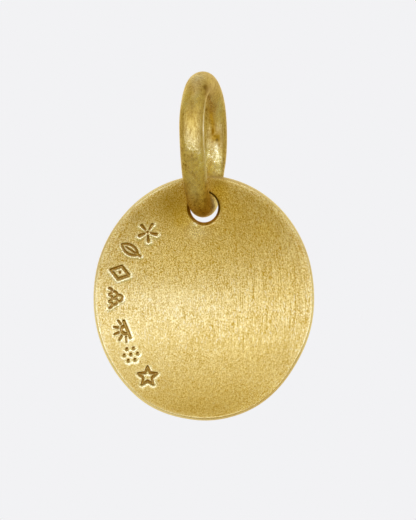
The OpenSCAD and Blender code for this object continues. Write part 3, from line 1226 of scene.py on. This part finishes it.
# Colour of the dim surroundings by the height of the direction in degrees
ROOM = (
    (-90, (0.20, 0.150, 0.05)),
    (-70, (0.29, 0.220, 0.08)),
    (-50, (0.40, 0.320, 0.12)),
    (-30, (0.41, 0.340, 0.12)),
    (-14, (0.42, 0.345, 0.09)),
    (0, (0.44, 0.360, 0.11)),
    (30, (0.44, 0.370, 0.12)),
    (60, (0.43, 0.370, 0.22)),
    (90, (0.68, 0.600, 0.46)),
)

# Colour of the wide soft panel in front, added to the room
PANEL = (
    (-36, (0.00, 0.00, 0.00)),
    (-24, (0.12, 0.10, 0.00)),
    (-14, (0.02, 0.01, 0.00)),
    (-7, (0.02, 0.01, 0.00)),
    (-3, (0.57, 0.50, 0.04)),
    (1, (1.62, 1.97, 2.70)),
    (5, (1.30, 1.60, 2.80)),
    (10, (0.88, 1.02, 1.10)),
    (16, (0.50, 0.51, 0.26)),
    (22, (0.29, 0.24, 0.05)),
    (29, (0.06, 0.01, 0.00)),
    (40, (0.00, 0.00, 0.00)),
)

# Colour of the pale backdrop behind the pendant, added to the room
BACK = (
    (-60, (0.00, 0.00, 0.00)),
    (-35, (0.36, 0.30, 0.20)),
    (-5, (0.47, 0.41, 0.30)),
    (30, (0.46, 0.40, 0.30)),
    (60, (0.00, 0.00, 0.00)),
)

# Degrees aside from the front between which the panel fades out, and between which the backdrop sets in
PANEL_ASIDE = (40, 90)
BACK_ASIDE = (120, 155)

FLOOR_COLOUR = (0.92, 0.92, 0.935, 1.0)
FLOOR_ROUGH = 0.8
FLOOR_R = 70.0
FLOOR_Z = -46.0
FLOOR_COUNT = 96

# The camera stands far off, level with the frame's middle. Its nearest and farthest sight is in metres.
CAMERA_AWAY = 300.0
CAMERA_SIGHT = (0.01, 20.0)
SENSOR = 36.0


def glow(g, height, rows, share=None):
    """Light whose colour follows the height of the direction, in a share of the room."""
    top = max(max(colour) for _, colour in rows)
    low, high = rows[0][0], rows[-1][0]
    ramp = g.node("ShaderNodeValToRGB", {0: g.range(height, math.radians(low), math.radians(high))})
    stops = ramp.color_ramp.elements
    while len(stops) < len(rows):
        stops.new(0.5)
    for stop, (degrees, colour) in zip(stops, rows):
        stop.position = (degrees - low) / (high - low)
        stop.color = (*(v / top for v in colour), 1.0)
    strength = top if share is None else g.times(share, top)
    return g.node("ShaderNodeBackground", {"Color": ramp.outputs[0], "Strength": strength}).outputs[0]


def build_world():
    world = bpy.data.worlds.new("studio")
    bpy.context.scene.world = world
    world.use_nodes = True
    world.cycles.sampling_method = "NONE"
    world.node_tree.nodes.clear()
    g = Graph(world.node_tree)
    x, y, z = g.split(g.node("ShaderNodeTexCoord").outputs["Generated"])
    height = g.math("ARCSINE", z)
    aside = g.math("ABSOLUTE", g.math("ARCTAN2", x, g.times(y, -1.0)))
    facing = g.fade(aside, *map(math.radians, PANEL_ASIDE), 1.0, 0.0)
    behind = g.fade(aside, *map(math.radians, BACK_ASIDE))
    light = glow(g, height, ROOM)
    for added in (glow(g, height, PANEL, facing), glow(g, height, BACK, behind)):
        light = g.node("ShaderNodeAddShader", {0: light, 1: added}).outputs[0]
    plain = g.node("ShaderNodeBackground", {"Color": BACKDROP, "Strength": 1.0}).outputs[0]
    path = g.node("ShaderNodeLightPath").outputs
    sees_plain = g.math("MAXIMUM", path["Is Camera Ray"], path["Is Diffuse Ray"])
    both = g.node("ShaderNodeMixShader", {0: sees_plain, 1: light, 2: plain}).outputs[0]
    g.node("ShaderNodeOutputWorld", {"Surface": both})


def floor_material():
    mat = bpy.data.materials.new("pale_floor")
    mat.use_nodes = True
    shader = mat.node_tree.nodes["Principled BSDF"]
    shader.inputs["Base Color"].default_value = FLOOR_COLOUR
    shader.inputs["Roughness"].default_value = FLOOR_ROUGH
    return mat


def build_floor():
    """A round floor that glossy surfaces don't mirror."""
    rim = [(*polar(FLOOR_R, 360 * k / FLOOR_COUNT), FLOOR_Z) for k in range(FLOOR_COUNT)]
    faces = [(k, (k + 1) % FLOOR_COUNT, FLOOR_COUNT) for k in range(FLOOR_COUNT)]
    obj = new_mesh("floor", rim + [(0, 0, FLOOR_Z)], faces)
    obj.data.materials.append(floor_material())
    obj.visible_glossy = False


def build_camera():
    cam = bpy.data.cameras.new("camera")
    obj = bpy.data.objects.new("camera", cam)
    bpy.context.scene.collection.objects.link(obj)
    x = DISH_X + (FRAME_W_PX / 2 - DISC_MID_PX[0]) * MM_PER_PX
    z = DISH_Z + (DISC_MID_PX[1] - FRAME_H_PX / 2) * MM_PER_PX
    obj.location = Vector((x, -CAMERA_AWAY, z)) * MM
    obj.rotation_euler = (math.pi / 2, 0, 0)
    cam.sensor_width = SENSOR
    cam.lens = SENSOR * CAMERA_AWAY / (FRAME_H_PX * MM_PER_PX)
    cam.clip_start, cam.clip_end = CAMERA_SIGHT
    bpy.context.scene.camera = obj


disc = build_disc()
disc.data.materials.append(disc_material())
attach(disc, "medallion")
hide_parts("medallion_disc")

ring = build_ring()
ring.data.materials.append(ring_material())
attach(ring, "ring")
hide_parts("jump_ring")

build_floor()
build_world()
build_camera()
bpy.context.scene.view_settings.view_transform = "Standard"

print("triangles", triangle_count(disc), triangle_count(ring))
